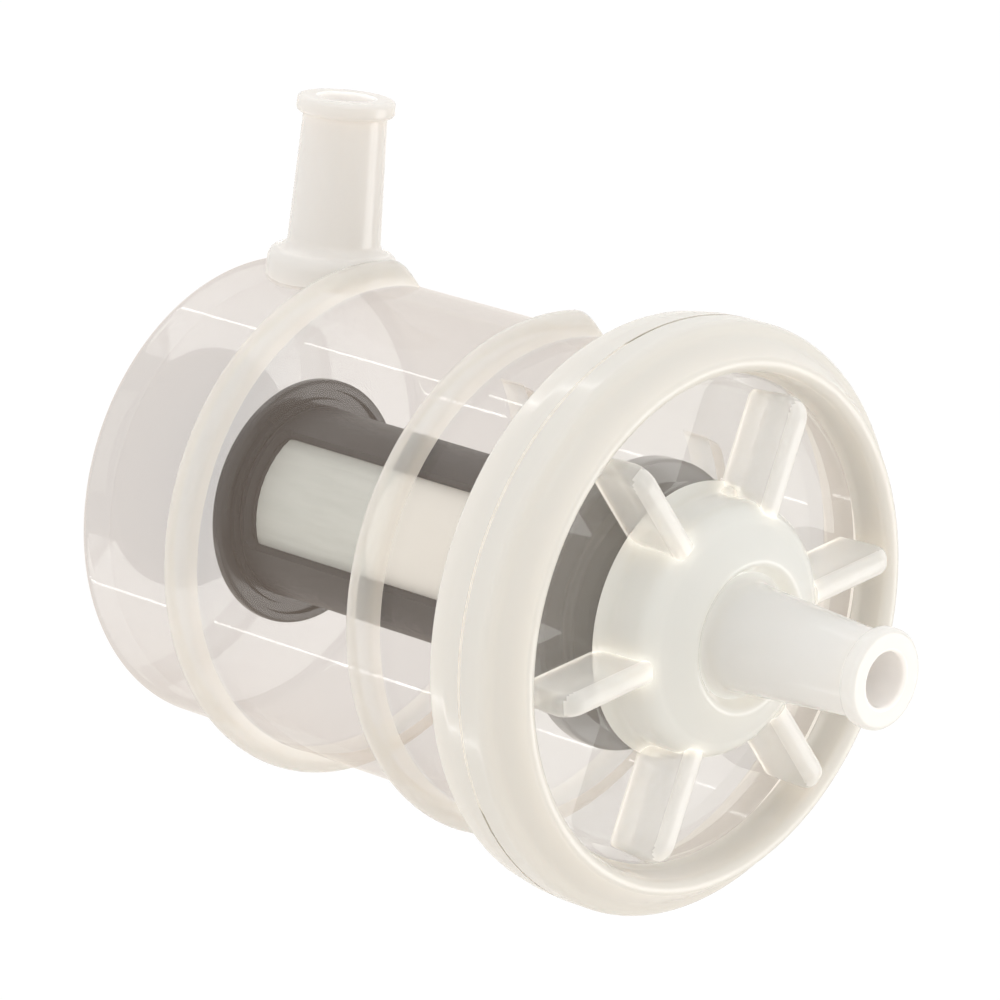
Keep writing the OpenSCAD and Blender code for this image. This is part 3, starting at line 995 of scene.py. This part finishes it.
def window_cutter(turn):
    """A radial wedge with a rounded window outline, long enough to pass the cage's wall."""
    half = math.radians(WINDOW_DEGREES / 2)
    bow = WINDOW_CORNER / CAGE_R
    z_low, z_high = WINDOW_LOW + WINDOW_CORNER, WINDOW_TOP - WINDOW_CORNER
    corners = [(half - bow, z_low, -90), (half - bow, z_high, 0),
               (-half + bow, z_high, 90), (-half + bow, z_low, 180)]
    outline = []
    for a0, z0, first in corners:
        for i in range(CORNER_POINTS):
            t = math.radians(first + CORNER_STEP * i)
            outline.append((a0 + bow * math.cos(t), z0 + WINDOW_CORNER * math.sin(t)))
    fine = []
    for i, (a0, z0) in enumerate(outline):
        a1, z1 = outline[(i + 1) % len(outline)]
        pieces = max(1, round(abs(a1 - a0) / CUT_STEP))
        fine += [(a0 + (a1 - a0) * k / pieces, z0 + (z1 - z0) * k / pieces)
                 for k in range(pieces)]
    bm = bmesh.new()
    loops = []
    for reach in (CUT_FROM, CUT_TO):
        loops.append([bm.verts.new((reach * math.cos(a + turn), reach * math.sin(a + turn), z))
                      for a, z in fine])
    count = len(fine)
    for i in range(count):
        j = (i + 1) % count
        bm.faces.new([loops[0][i], loops[1][i], loops[1][j], loops[0][j]])
    for ring in loops:
        border = [bm.edges.get((ring[i], ring[(i + 1) % count])) for i in range(count)]
        bmesh.ops.triangle_fill(bm, edges=border, use_beauty=True)
    bmesh.ops.recalc_face_normals(bm, faces=bm.faces)
    mesh = bpy.data.meshes.new("cutter")
    bm.to_mesh(mesh)
    bm.free()
    obj = bpy.data.objects.new("cutter", mesh)
    bpy.context.scene.collection.objects.link(obj)
    return obj


def cage_mesh():
    """The cage's tube with its windows cut out, as a plain mesh."""
    obj = lathe("cage", tube_outline(CAGE_IN, CAGE_R, CAGE_LOW, CAGE_TOP), CAGE_STEPS)
    for i in range(WINDOWS):
        cutter = window_cutter(math.radians(WINDOW_TURN + 360 * i / WINDOWS))
        cut = obj.modifiers.new("window", "BOOLEAN")
        cut.operation = "DIFFERENCE"
        cut.solver = "EXACT"
        cut.object = cutter
        depsgraph = bpy.context.evaluated_depsgraph_get()
        plain = bpy.data.meshes.new_from_object(obj.evaluated_get(depsgraph))
        obj.modifiers.clear()
        obj.data = plain
        bpy.data.objects.remove(cutter)
    for f in obj.data.polygons:
        f.use_smooth = True
    obj.data.set_sharp_from_angle(angle=math.radians(CAGE_SHARP))
    return obj


cage = cage_mesh()
settle(cage, "cage", "black_cage", CAGE_BLACK)

# %% [markdown]
# ## What stays hidden
# The pleated paper, the slotted tube, both rings of adhesive and the seal are closed in by the
# other pieces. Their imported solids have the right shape, so they only get their finishes.

# %% Finishes for the carried-over nodes
INNER_FINISHES = {
    "pleated_paper": PAPER,
    "centre_tube": CORE,
    "closed_end_bond": ADHESIVE,
    "open_end_bond": ADHESIVE,
    "neck_seal": RUBBER,
}
for node_name, finish in INNER_FINISHES.items():
    node_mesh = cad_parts[node_name]
    for slot_index in range(len(node_mesh.material_slots)):
        node_mesh.material_slots[slot_index].material = finish
    print(node_name, "gets", finish.name)

# %% [markdown]
# ## Floor and light
# A pale, glowing floor and a white world keep the plastic bright from all sides, as in a light
# tent. A wide key lamp and a far window give the forms some shape, and two long strips draw the
# straight lines of light on the cup. The strips stand below the floor, so the floor isn't
# mirrored and stops no light.

# %% Floor
def floor_finish():
    material, nodes, links = start("pale floor")
    shader = nodes["Principled BSDF"]
    shader.inputs["Base Color"].default_value = (0.02, 0.02, 0.02, 1)
    shader.inputs["Specular IOR Level"].default_value = 0.0
    shader.inputs["Roughness"].default_value = 0.9
    shader.inputs["Emission Color"].default_value = (1, 1, 1, 1)
    shader.inputs["Emission Strength"].default_value = 1.0
    return material


FLOOR_HALF = 3.0
FLOOR_DROP = 0.2 * MM
floor_corners = [(x * FLOOR_HALF, y * FLOOR_HALF, -FLOOR_DROP)
                 for x, y in ((-1, -1), (1, -1), (1, 1), (-1, 1))]
floor_mesh = bpy.data.meshes.new("floor")
floor_mesh.from_pydata(floor_corners, [], [(0, 1, 2, 3)])
floor_mesh.materials.append(floor_finish())
floor = bpy.data.objects.new("floor", floor_mesh)
bpy.context.scene.collection.objects.link(floor)
floor.visible_glossy = False
floor.visible_shadow = False

print("floor: %.1f m wide" % (2 * FLOOR_HALF))

# %% World
SKY_NEAR = (1.03, 1.03, 1.02)
SKY_FAR = (0.90, 0.84, 0.76)
world = bpy.data.worlds.new("white room")
bpy.context.scene.world = world
world.use_nodes = True
sky_nodes, sky_links = world.node_tree.nodes, world.node_tree.links
sky_way = sky_nodes.new("ShaderNodeTexCoord")
sky_parts = sky_nodes.new("ShaderNodeSeparateXYZ")
sky_links.new(sky_way.outputs["Generated"], sky_parts.inputs[0])
sky_share = ramp(sky_nodes, sky_links, sky_parts.outputs["X"], 0.0, 1.0, -1.0, 1.0)
sky_links.new(two_tone(sky_nodes, sky_links, sky_share, SKY_NEAR, SKY_FAR),
              sky_nodes["Background"].inputs["Color"])
print("world:", world.name)


# %% Lamps
AIM_SHARE = 0.4


def soft_lamp(name, direction, distance, width, height, power):
    """A rectangular lamp at that direction from the middle of the filter, facing it."""
    aim = Vector((0, 0, OUTLET_TIP * AIM_SHARE))
    data = bpy.data.lights.new(name, "AREA")
    data.shape = "RECTANGLE"
    data.size = width
    data.size_y = height
    data.energy = power
    obj = bpy.data.objects.new(name, data)
    way = Vector(direction).normalized()
    side = Vector((0, 0, 1)).cross(way).normalized()
    up = way.cross(side)
    place = aim + way * distance
    rows = [(side[i], up[i], way[i], place[i]) for i in range(3)]
    obj.matrix_world = Matrix((*rows, (0, 0, 0, 1)))
    bpy.context.scene.collection.objects.link(obj)
    return obj


def radiance_power(radiance, width, height):
    """Power that gives a rectangular lamp this radiance."""
    return radiance * math.pi * width * height


STRIP = (0.03, 1.2)
STRIP_POWER = radiance_power(9, *STRIP)
WINDOW = (0.5, 0.5)
soft_lamp("key", (-0.9, -0.5, 0.9), 1.2, *WINDOW, radiance_power(0.5, *WINDOW))
soft_lamp("upper strip", (-0.73, 0.06, -0.68), 2.0, *STRIP, STRIP_POWER)
soft_lamp("lower strip", (0.60, -0.42, -0.68), 2.0, *STRIP, STRIP_POWER)
soft_lamp("far window", (0.217, 0.69, 0.69), 1.0, *WINDOW, radiance_power(2.0, *WINDOW))
scene = bpy.context.scene
scene.view_settings.view_transform = "Standard"
scene.cycles.transparent_max_bounces = 32
scene.cycles.max_bounces = 16
scene.cycles.diffuse_bounces = 8
